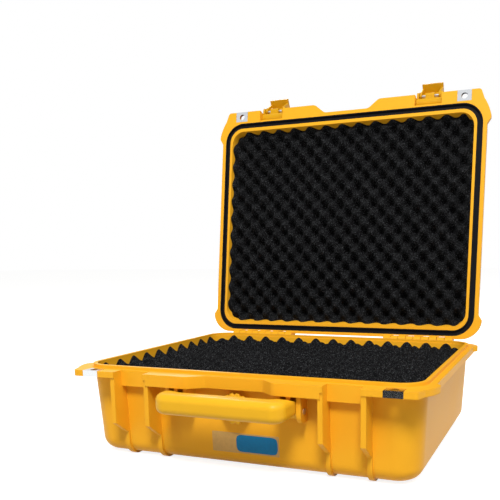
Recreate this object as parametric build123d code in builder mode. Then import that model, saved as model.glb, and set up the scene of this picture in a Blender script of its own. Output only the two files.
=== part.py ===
from build123d import *
from math import cos, radians, sin, tan
import os

os.makedirs("parts", exist_ok=True)

# Frame: millimetres, X to the right, Y from the handle side to the hinge side, Z up.
# The case is drawn about the centre of its flat bottom panel. Every lid piece is drawn on
# the closed case and then swung open about the hinge pin. Each finished piece is moved
# last, so that the open case stands on its foot ribs with the middle of its box over the
# origin.

# Driving dimensions of the closed case
rim_x = 210.0              # half width of the rim flange
rim_y = 171.0              # from the centre to the rear edge of the flange
front_ledge = 14.0         # how much further out the front edge of the flange is
bumper = 5.0               # how far the corner bumpers stand out past the flange
parting_z = 102.5          # top face of the base flange
lid_depth = 45.0           # from the parting face to the flat outer face of the lid
parting_gap = 0.4          # gap between the closed flanges
rim_out = 8.25             # how far the flange stands out past the tub's walls
wall = 3.5                 # thickness of the moulded walls
draft = 3.0                # mould draft of the base walls, degrees
corner_r = 28.0            # upright corners of the tub, outside
bottom_r = 16.0            # fillet between the base walls and its bottom panel
open_angle = 97.8          # how far the lid is swung open
root = 20.0                # how far a rib or lug is drawn into the cavity, which is cut last

# Rim flange of base and lid
flange_thick = 9.0
flange_front_inset = 16.0  # the flange's thick part ends this far in at the front
guard_zone_thick = 7.0     # the flange is thinner where the steel guards wrap it
shoulder_x = 10.0          # slanted shoulder at each front corner, in from the side
shoulder_y = 14.0
front_bumper_r = 67.0      # plan radii of the corner bumpers
rear_bumper_r = 30.0
front_bumper_run = 24.0    # from the flange's corner to the end of the front bumper's arc
rear_bumper_in = 25.0      # where the rear bumper's arc meets the rear edge
bumper_run = 28.0          # from the flange's corner to the end of a bumper
bumper_slope = 8.0         # run of the slope from a bumper to the straight side
mid_block_thick = 13.4     # the deep block between the two inner fins
lid_block_thick = 12.0     # the same block on the lid
lid_block_r = 6.0          # its rounded front edge
latch_band_in = 1.5        # how far the edge behind a latch lies inside the rear one's line
latch_band_thick = 18.5
recess_top_x = 51.0        # half width of the hand recess at the flange edge
recess_bottom_x = 35.0
recess_depth = 13.0
recess_r = 10.0            # rounding of the recess's four corners in plan

# Tongue on the base, and the gasket groove in the lid that it presses into
tongue_height = 3.5
tongue_width = 4.5
seal_side_in = 9.5         # from the flange's side edge in to the seal's centre line
seal_rear_in = 8.5         # from its rear edge
seal_corner_out = 1.9      # how much rounder the seal's corners are than the cavity's
seal_width = 8.0
seal_back = 0.2            # the gasket's face lies this far inside its groove
groove_depth = 6.0
groove_wall = 2.4          # wall of the lid in front of the groove, behind a latch
lip_width = 4.0            # lip of the lid inside the groove
seal_clearance = 0.35
groove_clearance = 0.1

# Fins beside the latches, and the ribs that carry on under the base
latch_in = 84.8            # from the flange's side edge to the middle of a latch
bay_width = 39.3           # clear width between the two fins of a latch
fin_thick = 5.5
fin_back = 1.3             # from the flange's front edge back to the fins' front
fin_chamfer = 4.5          # slanted upper end of a fin
fin_foot_z = 43.0
fin_root_z = 25.5
foot = 3.0                 # height of the foot ribs below the bottom panel
foot_run = 42.0            # length of a foot rib under the bottom
foot_root = 5.0            # how far up into the bottom a foot rib is drawn
rib_stand = 2.5            # height of the lid's ribs
rib_width = 4.5
rib_side = 1.0             # how far the lid's cross ribs stand out at the flange
rib_sink = 1.0             # and how far they reach into it
rib_nose = 3.0             # how far the long ribs reach past the lid's flat face
cross_rib_in = (115.0, 74.5, 34.0)
rear_rib_in = (109.8, 64.4)
rear_rib_back = 4.0        # from the flange's rear edge in to the rear ribs of the lid
rear_rib_drop = 4.0        # slanted end of those ribs
cheek_chamfer = 1.0

# Lid tub
lid_lean_x = 3.25          # how far the lid's side walls lean in
lid_lean_y = 11.75         # how far its front and rear walls lean in
lid_edge_r = 9.0
lid_cheek_height = 15.1    # height of the latch cheeks at the flange edge

# Hinge
hinge_stand = 4.0          # from the flange's rear edge out to the hinge's axis
hinge_r = 6.5
hinge_in = 85.0            # from the flange's side edge to the middle of a hinge
knuckle_pitch = 11.35
knuckle_gap = 0.8
lid_knuckles = 5
hinge_pin_r = 2.0
hinge_pin_in = 1.0         # the pins end this far inside the outer knuckles
hinge_web_drop = 18.0
hinge_web_back = 3.0       # a web's far end lies this far in from the flange's edge
hinge_web_root = 8.0       # how far a web reaches in past the wall's outer face
hinge_web_angle = 50.0     # where a web leaves its knuckle, from straight up or down
running = 0.05             # radial clearance of every turning pin
swing_gap = 0.5            # clearance round a knuckle in the other shell

# Padlock guards
guard_in = 33.0            # from the flange's side edge to the middle of a guard
guard_width = 20.0
guard_depth = 15.5
guard_plate = 0.8
guard_hole_r = 4.5
guard_hole_back = 8.0      # from the flange edge to the hole's centre
guard_slot_clearance = 0.7

# Latches
latch_back = 10.0          # from the flange's front edge back to the link's pivot
latch_height = 15.6        # from the lid's parting face to the link's pivot
latch_gap = 0.7            # side clearance between the link and the fins
link_r = 8.5
link_reach = 12.0          # from the lid pivot to the lever pivot
link_cheek = 3.0
link_end_r = 5.5
link_knuckle = 13.0
link_knuckle_r = 4.3
lever_side_gap = 0.5
lever_cheek = 3.0
lever_plate = 4.5
lever_front = 6.5          # from the lever pivot to the plate's outer face
lever_back = 4.9           # from the lever pivot to the cheeks' inner edge
lever_eye_r = 3.1
lever_shoulder = 5.0       # from the lever pivot down to the cheeks' full depth
lever_nose_run = 3.0       # slanted lower end of the plate
lever_nose_rise = 5.0
lever_lip = 3.8            # thickness of the hooked lip
lever_lip_reach = 11.0
lip_chamfer = 1.0
catch_gap = 0.4            # clearance between the lip and the flange it hooks under
lever_top = 5.0            # from the lever pivot down to the plate's upper edge
lever_open = 55.0          # how far the lever is pulled out of its closed line
link_open = 90.0
latch_pin_r = 2.0
latch_pin_in = 0.5         # the pivot pins end this far inside the fins' outer faces
lever_pin_r = 1.5
lever_pin_in = 0.3         # the levers' pins end this far inside the link's cheeks

# Handle
handle_x = 75.0            # half width over the arms
handle_reach = 47.0        # from the handle's pivot to the front of the grip
handle_thick = 22.4
handle_drop = 25.0         # from the flange's top face down to the middle of the grip
grip_width = 25.0
arm_width = 17.0
arm_start = 3.0            # the arms begin to slim this far before the grip's inner side
handle_corner_r = 15.0
window_corner_r = 8.0
grip_r = 8.0               # rounding of the grip's long edges
grip_grooves = 20
groove_pitch = 4.2
groove_depth_in_grip = 1.2
handle_pivot_drop = 30.5   # from the flange's top face down to the handle's pivot
handle_eye_r = 8.5
handle_eye_in = 1.25       # the eye's back lies this far inside the wall's line at the rim
handle_pin_r = 2.0
handle_head_r = 3.2
handle_head_thick = 1.0
lug_thick = 5.0
lug_r = 9.5
lug_drop = 3.0             # from the handle's pivot down to the middle of the lug's round end
lug_gap = 0.5
web_thick = 4.4
web_drop = 4.6

# Pressure valve
valve_drop = 34.5          # from the flange's top face down to the valve's middle
valve_boss = 2.0           # how much wider the moulded boss is than the valve's flange
valve_bore_r = 7.0
valve_flange_r = 11.0
valve_flange = 2.0
valve_knob_r = 15.0
valve_knob_thick = 4.0
valve_bush_depth = 3.6     # how far the bush reaches into the wall
valve_bush_gap = 0.02      # the bush's play in its bore
valve_spigot_r = 3.0
valve_spigot_in = 3.0      # how far the knob's spigot reaches in past the boss's face
valve_knob_gap = 0.3
valve_seal_thick = 1.0
valve_seal_in = 1.0        # the ring lies this far inside the flange's edge
valve_seal_gap = 0.2       # clearance between the ring and the bush
scallops = 12
scallop_r = 2.6
scallop_out = 1.2          # the scallops' centres lie this far outside the knob's edge

# Foam and labels
foam_gap = 0.4
foam_rim_gap = 0.3         # from the foam's crests up to the flange's top face
foam_pad_top = 16.5
foam_top_thick = 39.8
lid_foam_recess = 7.0      # from the closed parting face to the lid foam's crests
label_thick = 0.3
label_gap = 0.3            # least room between the front label and the valve's boss
front_label_size = (81.0, 23.0)
front_label_r = 1.0
front_label_at = (6.5, 27.0)
lid_label_size = (66.0, 38.0)
lid_label_r = 3.0

# Sizes worked out from the ones above
slope = tan(radians(draft))
front_y = rim_y + front_ledge
wall_x = rim_x - rim_out
wall_y = rim_y - rim_out
lid_top_x = wall_x - lid_lean_x
lid_top_y = wall_y - lid_lean_y
lid_face_z = parting_z + parting_gap
lid_top_z = lid_face_z + lid_depth
hinge_centre_x = rim_x - hinge_in
hinge_y = rim_y + hinge_stand
hinge_z = parting_z + parting_gap / 2
tongue_top_z = parting_z + tongue_height
cavity_r = corner_r - wall
seal_x = rim_x - seal_side_in
seal_y = rim_y - seal_rear_in
seal_r = cavity_r + seal_corner_out
mouth_x = seal_x - seal_width / 2 - groove_clearance - lip_width
mouth_y = seal_y - seal_width / 2 - groove_clearance - lip_width
latch_centre_x = rim_x - latch_in
latch_y = front_y - latch_back
latch_z = lid_face_z + latch_height
latch_band_y = rim_y - latch_band_in
fin_x = [latch_centre_x + s * (bay_width + fin_thick) / 2 for s in (-1, 1)]
fin_y = front_y - fin_back
rear_rib_x = [rim_x - inset for inset in rear_rib_in]
cross_rib_y = [rim_y - inset for inset in cross_rib_in]
guard_x = rim_x - guard_in
link_width = bay_width - 2 * latch_gap
lever_width = link_width - 2 * (link_cheek + lever_side_gap)
lid_bay_y = seal_y + seal_width / 2 + groove_clearance + groove_wall
knuckle_width = knuckle_pitch - knuckle_gap
handle_pivot_y = wall_y - handle_eye_in + handle_eye_r
handle_pivot_z = parting_z - handle_pivot_drop
handle_front_y = handle_pivot_y + handle_reach
handle_z = parting_z - handle_drop
lug_face_x = handle_x + lug_gap + lug_thick
valve_z = parting_z - valve_drop
valve_face_y = wall_y + valve_seal_thick + valve_flange
foam_top_z = parting_z - foam_rim_gap
foam_block_top = foam_top_z - foam_top_thick - foam_gap
sides = (-1, 1)

# Place of the swung lid
lid_open = Pos(0, hinge_y, hinge_z) * Rot(-open_angle, 0, 0) * Pos(0, -hinge_y, -hinge_z)

# Place of the whole case: its open box reaches from the handle to the raised lid's back
lean = radians(open_angle - 90)
lid_back_y = hinge_y + (hinge_y + lid_top_y + rib_nose) * sin(lean)
lid_back_y += (lid_top_z + rib_stand - hinge_z) * cos(lean)
stand = Pos(0, (handle_front_y - lid_back_y) / 2, foot)


def link_place(side):
    """Where a link, drawn hanging down from its pivot, stands on the opened lid."""
    pivot = Pos(side * latch_centre_x, -latch_y, latch_z)
    return lid_open * pivot * Rot(-link_open, 0, 0)


def lever_place(side):
    """Where a lever, drawn hanging down from its pivot, stands on its link."""
    return link_place(side) * Pos(0, 0, -link_reach) * Rot(-lever_open, 0, 0)


def wall_out(z):
    """How far out the drafted front and rear walls stand at a height on the base."""
    return wall_y - (parting_z - z) * slope


def save(builder, name):
    """Stand a finished piece on the floor, label it and write it as its own node."""
    standing = stand * builder.part
    standing.label = name
    export_step(standing, f"parts/{name}.step")


def side_name(side):
    return "left" if side < 0 else "right"


def rim_outline():
    """Plan of the flange shared by both shells: a front edge with the hand recess in its
    middle and slanted shoulders at its ends, rounded bumpers at the four corners and a
    straight rear edge."""
    front_end = (rim_x - shoulder_x, -front_y)
    shoulder_end = (rim_x - shoulder_x / 2, -front_y + shoulder_y)
    bumper_x = rim_x + bumper
    front_arc_end = (bumper_x, -rim_y + front_bumper_run)
    rear_arc_start = (bumper_x, rim_y - bumper_run)
    rear_arc_end = (rim_x - rear_bumper_in, rim_y)
    with BuildSketch() as outline:
        with BuildLine():
            Polyline(
                (0, -front_y + recess_depth),
                (recess_bottom_x, -front_y + recess_depth),
                (recess_top_x, -front_y),
                front_end,
                shoulder_end,
            )
            RadiusArc(shoulder_end, front_arc_end, -front_bumper_r)
            Polyline(
                front_arc_end,
                (bumper_x, -rim_y + bumper_run),
                (rim_x, -rim_y + bumper_run + bumper_slope),
                (rim_x, rim_y - bumper_run - bumper_slope),
                rear_arc_start,
            )
            RadiusArc(rear_arc_start, rear_arc_end, -rear_bumper_r)
            Line(rear_arc_end, (0, rim_y))
            mirror(about=Plane.YZ)
        make_face()
        recess_corners = [
            outline.vertices().sort_by_distance((s * x, y))[0]
            for s in sides
            for x, y in ((recess_top_x, -front_y), (recess_bottom_x, -front_y + recess_depth))
        ]
        fillet(recess_corners, recess_r)
        front_corners = outline.vertices().group_by(Axis.Y)[0].sort_by(Axis.X)
        fillet([front_corners[0], front_corners[-1]], shoulder_x / 2)
    return outline.sketch


def mid_block_plan():
    """Plan of the deep block between the two inner fins, with the hand recess."""
    with BuildSketch() as plan:
        add(rim_outline())
        with Locations((0, -(front_y + wall_y) / 2)):
            Rectangle(2 * fin_x[0], front_y - wall_y + 2, mode=Mode.INTERSECT)
    return plan.sketch


def leaning_block(wide, narrow, wide_z, narrow_z, corner):
    """A block with four leaning sides, from the half widths of its wide and its narrow
    end, with its leaning edges rounded."""
    upward = narrow_z > wide_z
    with BuildPart() as block:
        with Locations((0, 0, wide_z)):
            Wedge(
                2 * wide[0], abs(narrow_z - wide_z), 2 * wide[1],
                wide[0] - narrow[0], wide[1] - narrow[1],
                wide[0] + narrow[0], wide[1] + narrow[1],
                rotation=(90 if upward else -90, 0, 0),
                align=(Align.CENTER, Align.MIN, Align.CENTER),
            )
        fillet(block.edges().filter_by(lambda e: abs(e.tangent_at(0.5).Z) > 0.5), corner)
    return block.part


def base_block(inset, top_z, low_z, corner):
    """A block with the draft of the base walls. The inset is how far its sides stand
    inside the walls' outer faces."""
    wide = [half - inset - (parting_z - top_z) * slope for half in (wall_x, wall_y)]
    narrow = [half - inset - (parting_z - low_z) * slope for half in (wall_x, wall_y)]
    return leaning_block(wide, narrow, top_z, low_z, corner)


def lid_block(inset, top_z, corner):
    """A block that leans in as the lid does, from the parting face up to a height. The
    inset is how far its sides stand inside the lid's outer ones."""
    wide = (wall_x - inset, wall_y - inset)
    narrow = (lid_top_x - inset, lid_top_y - inset)
    return leaning_block(wide, narrow, lid_face_z, top_z, corner)


def cut_latch_bays(edge_y, z_low, z_high):
    """Cut the flange back between each pair of fins."""
    with BuildSketch(Plane.XY.offset(z_low)) as bays:
        with Locations(*[(s * latch_centre_x, -edge_y - front_ledge) for s in sides]):
            Rectangle(bay_width, 2 * front_ledge)
    extrude(bays.sketch, amount=z_high - z_low, mode=Mode.SUBTRACT)


def cut_guard_seats(z_low, z_high):
    """Sink both steel guards flush into the flange, and open a slot under their holes."""
    seat = guard_width + 2 * groove_clearance
    seat_y = -front_y + guard_depth / 2
    slot_r = guard_hole_r + guard_slot_clearance
    hole_y = -front_y + guard_hole_back
    for z in (z_low, z_high - guard_plate):
        with BuildSketch(Plane.XY.offset(z)) as seats:
            with Locations(*[(s * guard_x, seat_y) for s in sides]):
                Rectangle(seat, guard_depth + 2 * groove_clearance)
        extrude(seats.sketch, amount=guard_plate, mode=Mode.SUBTRACT)
    with BuildSketch(Plane.XY.offset(z_low)) as slots:
        with Locations(*[(s * guard_x, -front_y) for s in sides]):
            Rectangle(seat, 2 * guard_plate)
        with Locations(*[(s * guard_x, hole_y) for s in sides]):
            Circle(slot_r)
        with Locations(*[(s * guard_x, (hole_y - front_y) / 2) for s in sides]):
            Rectangle(2 * slot_r, front_y + hole_y)
    extrude(slots.sketch, amount=z_high - z_low, mode=Mode.SUBTRACT)


def knuckle_places(on_lid):
    """X centres of one shell's knuckles: the lid's lie at whole pitches from the middle
    of each hinge, and the base's lie halfway between them."""
    count = lid_knuckles if on_lid else lid_knuckles - 1
    start = -(count - 1) * knuckle_pitch
    steps = [start + 2 * k * knuckle_pitch for k in range(count)]
    return [s * (hinge_centre_x + step) for s in sides for step in steps]


def add_knuckles(on_lid):
    """Clear the other shell's knuckles, then add this shell's, each on its own web."""
    up = 1 if on_lid else -1
    clear_width = knuckle_width + 2 * swing_gap
    clear_y = hinge_y - hinge_r - swing_gap
    web_angle = radians(hinge_web_angle)
    for x in knuckle_places(not on_lid):
        with BuildSketch(Plane.YZ.offset(x - clear_width / 2)) as notch:
            with Locations((clear_y + 2 * hinge_r, hinge_z)):
                Rectangle(4 * hinge_r, 4 * hinge_web_drop)
        extrude(notch.sketch, amount=clear_width, mode=Mode.SUBTRACT)
    for x in knuckle_places(on_lid):
        with BuildSketch(Plane.YZ.offset(x - knuckle_width / 2)) as knuckle:
            with Locations((hinge_y, hinge_z)):
                Circle(hinge_r)
            with BuildLine():
                Polyline(
                    (wall_y - hinge_web_root, hinge_z + up * parting_gap / 2),
                    (hinge_y, hinge_z + up * parting_gap / 2),
                    (hinge_y + hinge_r * sin(web_angle),
                     hinge_z + up * hinge_r * cos(web_angle)),
                    (rim_y - hinge_web_back, hinge_z + up * hinge_web_drop),
                    (wall_y - hinge_web_root, hinge_z + up * hinge_web_drop),
                    close=True,
                )
            make_face()
            with Locations((hinge_y, hinge_z)):
                Circle(hinge_pin_r + running, mode=Mode.SUBTRACT)
        extrude(knuckle.sketch, amount=knuckle_width)


def foot_rib(end):
    """Side view of a rib that runs down the front or the rear wall, round the bottom edge
    and along the underside. The end is -1 at the front and 1 at the rear."""
    bottom_y = wall_out(0)
    tip_y = bottom_y - foot_run
    arc_y = bottom_y - bottom_r
    arc_run = (bottom_r + foot) * sin(radians(45))
    upper = [
        (bottom_y + foot, bottom_r),
        (wall_y + foot, parting_z - flange_thick),
        (wall_y - root, parting_z - flange_thick),
        (tip_y, foot_root),
    ]
    under = [(tip_y, foot_root), (tip_y, 0), (tip_y + foot, -foot), (arc_y, -foot)]
    round_the_edge = [(arc_y, -foot), (arc_y + arc_run, bottom_r - arc_run), upper[0]]
    with BuildSketch() as rib:
        with BuildLine():
            Polyline(*[(end * y, z) for y, z in under])
            ThreePointArc(*[(end * y, z) for y, z in round_the_edge])
            Polyline(*[(end * y, z) for y, z in upper])
        make_face()
    return rib.sketch


# Base shell: the drafted tub, its flange, fins, lugs and hinge knuckles are added as one
# solid, and the cavity is cut last, so that nothing reaches through the walls
with BuildPart() as base_cavity:
    add(base_block(wall, parting_z, wall, cavity_r))
    fillet(base_cavity.faces().sort_by(Axis.Z)[0].edges(), bottom_r - wall)

with BuildPart() as base_shell:
    add(base_block(0, parting_z, 0, corner_r))
    fillet(base_shell.faces().sort_by(Axis.Z)[0].edges(), bottom_r)

    # Rim flange, thinner where the guards wrap its front edge
    with BuildSketch(Plane.XY.offset(parting_z - guard_zone_thick)):
        add(rim_outline())
    extrude(amount=guard_zone_thick)
    with BuildSketch(Plane.XY.offset(parting_z - flange_thick)):
        with Locations((0, flange_front_inset / 2)):
            RectangleRounded(2 * rim_x, 2 * rim_y - flange_front_inset, corner_r)
    extrude(amount=flange_thick)

    # Deep block between the inner fins
    with BuildSketch(Plane.XY.offset(parting_z - mid_block_thick)):
        add(mid_block_plan())
    extrude(amount=mid_block_thick)
    cut_latch_bays(latch_band_y, parting_z - mid_block_thick, parting_z)
    with BuildSketch(Plane.XY.offset(parting_z - latch_band_thick)):
        with Locations(*[(s * latch_centre_x, -latch_band_y + root / 2) for s in sides]):
            Rectangle(bay_width, root)
    extrude(amount=latch_band_thick)

    # Latch fins with sloped feet, and the foot ribs that wrap under the base
    for x in [s * f for s in sides for f in fin_x]:
        with BuildSketch(Plane.YZ.offset(x - fin_thick / 2)):
            with BuildLine():
                Polyline(
                    (-wall_y + root, parting_z),
                    (-fin_y + fin_chamfer, parting_z),
                    (-fin_y, parting_z - fin_chamfer),
                    (-fin_y, fin_foot_z),
                    (-wall_out(fin_root_z), fin_root_z),
                    (-wall_y + root, fin_root_z),
                    close=True,
                )
            make_face()
            add(foot_rib(-1))
        extrude(amount=fin_thick)
    for x in [s * r for s in sides for r in rear_rib_x]:
        with BuildSketch(Plane.YZ.offset(x - fin_thick / 2)):
            add(foot_rib(1))
        extrude(amount=fin_thick)

    # Handle lugs, long ones beside each arm and short webs between them
    lug_xs = (handle_x + lug_gap, handle_x - arm_width - lug_gap - lug_thick)
    for x in lug_xs:
        for s in sides:
            with BuildSketch(Plane.YZ.offset(min(s * x, s * (x + lug_thick)))):
                lug_z = handle_pivot_z - lug_drop
                with Locations((-handle_pivot_y, lug_z)):
                    Circle(lug_r)
                with BuildLine():
                    Polyline(
                        (-handle_pivot_y - lug_r, lug_z),
                        (-handle_pivot_y - lug_r, parting_z - mid_block_thick / 2),
                        (-wall_y + root, parting_z - mid_block_thick / 2),
                        (-wall_y + root, lug_z - lug_r),
                        (-handle_pivot_y, lug_z - lug_r),
                        close=True,
                    )
                make_face()
            extrude(amount=lug_thick)
    web_x = handle_x - arm_width / 2
    web_front_y = -handle_pivot_y - lug_r
    web_run = root - wall_y - web_front_y
    with BuildSketch(Plane.XY.offset(parting_z - mid_block_thick - web_drop)):
        with Locations(*[(s * web_x, web_front_y + web_run / 2) for s in sides]):
            Rectangle(web_thick, web_run)
    extrude(amount=web_drop)
    with BuildSketch(Plane.YZ.offset(-lug_face_x)):
        with Locations((-handle_pivot_y, handle_pivot_z)):
            Circle(handle_pin_r + running)
    extrude(amount=2 * lug_face_x, mode=Mode.SUBTRACT)

    # Boss of the pressure valve
    with BuildSketch(Plane.XZ.offset(wall_y - root)):
        with Locations((0, valve_z)):
            Circle(valve_flange_r + valve_boss)
    extrude(amount=root)

    cut_guard_seats(parting_z - guard_zone_thick, parting_z)
    add_knuckles(on_lid=False)

    # Cavity, tongue and valve bore
    add(base_cavity.part, mode=Mode.SUBTRACT)
    with BuildSketch(Plane.XY.offset(parting_z)):
        RectangleRounded(
            2 * seal_x + tongue_width, 2 * seal_y + tongue_width, cavity_r + tongue_width
        )
        RectangleRounded(
            2 * seal_x - tongue_width, 2 * seal_y - tongue_width, cavity_r,
            mode=Mode.SUBTRACT,
        )
    extrude(amount=tongue_height)
    with BuildSketch(Plane.XZ.offset(wall_y - root)):
        with Locations((0, valve_z)):
            Circle(valve_bore_r)
    extrude(amount=root, mode=Mode.SUBTRACT)
save(base_shell, "base_shell")


with BuildPart() as lid_cavity:
    add(lid_block(wall_x - mouth_x, lid_top_z - wall, cavity_r - lip_width))
    fillet(lid_cavity.faces().sort_by(Axis.Z)[-1].edges(), lid_edge_r - wall)

with BuildPart() as lid_mid_block:
    with BuildSketch(Plane.XY.offset(lid_face_z)):
        add(mid_block_plan())
    extrude(amount=lid_block_thick)
    upper_edges = lid_mid_block.faces().sort_by(Axis.Z)[-1].edges()
    fillet(
        upper_edges.filter_by(lambda e: e.center().Y < -(front_y - recess_depth + wall_y) / 2),
        lid_block_r,
    )

# Lid shell, drawn closed: the tub leans in at front and back, and carries the same
# flange outline, the cheeks of the latches, cross ribs and its own hinge knuckles
with BuildPart() as lid_closed:
    add(lid_block(0, lid_top_z, corner_r))
    fillet(lid_closed.faces().sort_by(Axis.Z)[-1].edges(), lid_edge_r)

    with BuildSketch(Plane.XY.offset(lid_face_z)):
        add(rim_outline())
    extrude(amount=guard_zone_thick)
    with BuildSketch(Plane.XY.offset(lid_face_z)):
        with Locations((0, flange_front_inset / 2)):
            RectangleRounded(2 * rim_x, 2 * rim_y - flange_front_inset, corner_r)
    extrude(amount=flange_thick)
    add(lid_mid_block.part)
    cut_latch_bays(lid_bay_y, lid_face_z, lid_face_z + lid_block_thick)

    # Cross ribs, a little proud of the flat face and wrapped down the side walls
    for y in [s * r for s in sides for r in cross_rib_y]:
        with BuildSketch(Plane.XZ.offset(-y - rib_width / 2)) as rib:
            with BuildLine():
                Polyline(
                    (-wall_x - rib_side, lid_face_z + flange_thick - rib_sink),
                    (-lid_top_x - rib_stand, lid_top_z + rib_stand),
                    (lid_top_x + rib_stand, lid_top_z + rib_stand),
                    (wall_x + rib_side, lid_face_z + flange_thick - rib_sink),
                    close=True,
                )
            make_face()
            fillet(rib.vertices().group_by(Axis.Y)[-1], lid_edge_r + rib_stand)
        extrude(amount=rib_width)

    # Latch cheeks at the front and the ribs that run back from the hinge
    for x in [s * f for s in sides for f in fin_x]:
        with BuildSketch(Plane.YZ.offset(x - fin_thick / 2)):
            with BuildLine():
                Polyline(
                    (-wall_y + root, lid_face_z),
                    (-fin_y + cheek_chamfer, lid_face_z),
                    (-fin_y, lid_face_z + cheek_chamfer),
                    (-fin_y, lid_face_z + lid_cheek_height),
                    (-lid_top_y - rib_nose, lid_top_z),
                    (-lid_top_y + rib_nose, lid_top_z + rib_stand),
                    (-cross_rib_y[1], lid_top_z + rib_stand),
                    (-cross_rib_y[1], lid_top_z - root),
                    close=True,
                )
            make_face()
        extrude(amount=fin_thick)
    for x in [s * r for s in sides for r in rear_rib_x]:
        with BuildSketch(Plane.YZ.offset(x - fin_thick / 2)):
            with BuildLine():
                Polyline(
                    (wall_y - root, lid_face_z + flange_thick),
                    (rim_y - rear_rib_back, lid_face_z + flange_thick),
                    (lid_top_y + rib_nose, lid_top_z - rear_rib_drop),
                    (lid_top_y - rib_nose, lid_top_z + rib_stand),
                    (cross_rib_y[1], lid_top_z + rib_stand),
                    (cross_rib_y[1], lid_top_z - root),
                    close=True,
                )
            make_face()
        extrude(amount=fin_thick)
    with BuildSketch(Plane.YZ.offset(-fin_x[1] - fin_thick)):
        with Locations((-latch_y, latch_z)):
            Circle(latch_pin_r + running)
    extrude(amount=2 * (fin_x[1] + fin_thick), mode=Mode.SUBTRACT)

    cut_guard_seats(lid_face_z, lid_face_z + guard_zone_thick)
    add_knuckles(on_lid=True)
    add(lid_cavity.part, mode=Mode.SUBTRACT)

    # Gasket groove
    with BuildSketch(Plane.XY.offset(lid_face_z)):
        groove = seal_width + 2 * groove_clearance
        RectangleRounded(2 * seal_x + groove, 2 * seal_y + groove, seal_r + groove / 2)
        RectangleRounded(
            2 * seal_x - groove, 2 * seal_y - groove, seal_r - groove / 2,
            mode=Mode.SUBTRACT,
        )
    extrude(amount=groove_depth, mode=Mode.SUBTRACT)

with BuildPart() as lid_shell:
    with Locations(lid_open):
        add(lid_closed.part)
save(lid_shell, "lid_shell")


# Lid gasket: a black channel section; the tongue of the base presses into its middle
with BuildPart() as gasket_closed:
    gasket_top_z = lid_face_z + groove_depth
    with BuildSketch(Plane.XY.offset(gasket_top_z)):
        RectangleRounded(
            2 * seal_x + seal_width, 2 * seal_y + seal_width, seal_r + seal_width / 2
        )
        RectangleRounded(
            2 * seal_x - seal_width, 2 * seal_y - seal_width, seal_r - seal_width / 2,
            mode=Mode.SUBTRACT,
        )
    extrude(amount=seal_back - groove_depth)
    with BuildSketch(Plane.XY.offset(tongue_top_z + seal_clearance)):
        channel = tongue_width + 2 * seal_clearance
        corner = tongue_width / 2 + running
        RectangleRounded(2 * seal_x + channel, 2 * seal_y + channel, seal_r + corner)
        RectangleRounded(
            2 * seal_x - channel, 2 * seal_y - channel, seal_r - corner,
            mode=Mode.SUBTRACT,
        )
    extrude(amount=-groove_depth, mode=Mode.SUBTRACT)

with BuildPart() as lid_gasket:
    with Locations(lid_open):
        add(gasket_closed.part)
save(lid_gasket, "lid_gasket")


# Hinge pins, one steel rod through all the knuckles of each hinge
hinge_length = (2 * lid_knuckles - 1) * knuckle_pitch
for side in sides:
    with BuildPart() as hinge_pin:
        pin_start_x = side * hinge_centre_x - hinge_length / 2 + hinge_pin_in
        with BuildSketch(Plane.YZ.offset(pin_start_x)):
            with Locations((hinge_y, hinge_z)):
                Circle(hinge_pin_r)
        extrude(amount=hinge_length - 2 * hinge_pin_in)
    save(hinge_pin, f"hinge_pin_{side_name(side)}")


# Padlock guards: bright steel plate folded round the flange edge, with one hole through
# both leaves
def guard_on(z_low, z_high):
    """Add one guard for each side between two heights of the closed flange."""
    with BuildSketch(Plane.XY.offset(z_low)) as plan:
        with Locations((guard_x, -front_y + guard_depth / 2)):
            Rectangle(guard_width, guard_depth)
        with Locations((guard_x, -front_y + guard_hole_back)):
            Circle(guard_hole_r, mode=Mode.SUBTRACT)
    extrude(plan.sketch, amount=z_high - z_low)
    with BuildSketch(Plane.XY.offset(z_low + guard_plate)) as fold:
        with Locations((guard_x, -front_y + guard_plate + guard_depth / 2)):
            Rectangle(guard_width, guard_depth)
    extrude(fold.sketch, amount=z_high - z_low - 2 * guard_plate, mode=Mode.SUBTRACT)


with BuildPart() as base_guard:
    guard_on(parting_z - guard_zone_thick, parting_z)
with BuildPart() as lid_guard:
    guard_on(lid_face_z, lid_face_z + guard_zone_thick)
for side in sides:
    with BuildPart() as padlock_guard_base:
        add(base_guard.part)
        if side < 0:
            mirror(about=Plane.YZ, mode=Mode.REPLACE)
    save(padlock_guard_base, f"padlock_guard_base_{side_name(side)}")
    with BuildPart() as guard_closed:
        add(lid_guard.part)
        if side < 0:
            mirror(about=Plane.YZ, mode=Mode.REPLACE)
    with BuildPart() as padlock_guard_lid:
        with Locations(lid_open):
            add(guard_closed.part)
    save(padlock_guard_lid, f"padlock_guard_lid_{side_name(side)}")


# Latch link: a thick roll on the lid's pivot with a cheek at each end and a knuckle in
# the middle, which carry the lever's pin
with BuildPart() as link_hanging:
    with BuildSketch(Plane.YZ.offset(-link_width / 2)):
        Circle(link_r)
    extrude(amount=link_width)
    for x in (-link_width / 2, link_width / 2 - link_cheek):
        with BuildSketch(Plane.YZ.offset(x)):
            with Locations((0, -link_reach / 2)):
                SlotCenterToCenter(link_reach, 2 * link_end_r, rotation=90)
        extrude(amount=link_cheek)
    with BuildSketch(Plane.YZ.offset(-link_knuckle / 2)):
        with Locations((0, -link_reach / 2)):
            SlotCenterToCenter(link_reach, 2 * link_knuckle_r, rotation=90)
    extrude(amount=link_knuckle)
    with BuildSketch(Plane.YZ.offset(-link_width / 2)):
        Circle(latch_pin_r + running)
        with Locations((0, -link_reach)):
            Circle(lever_pin_r + running)
    extrude(amount=link_width, mode=Mode.SUBTRACT)

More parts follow.
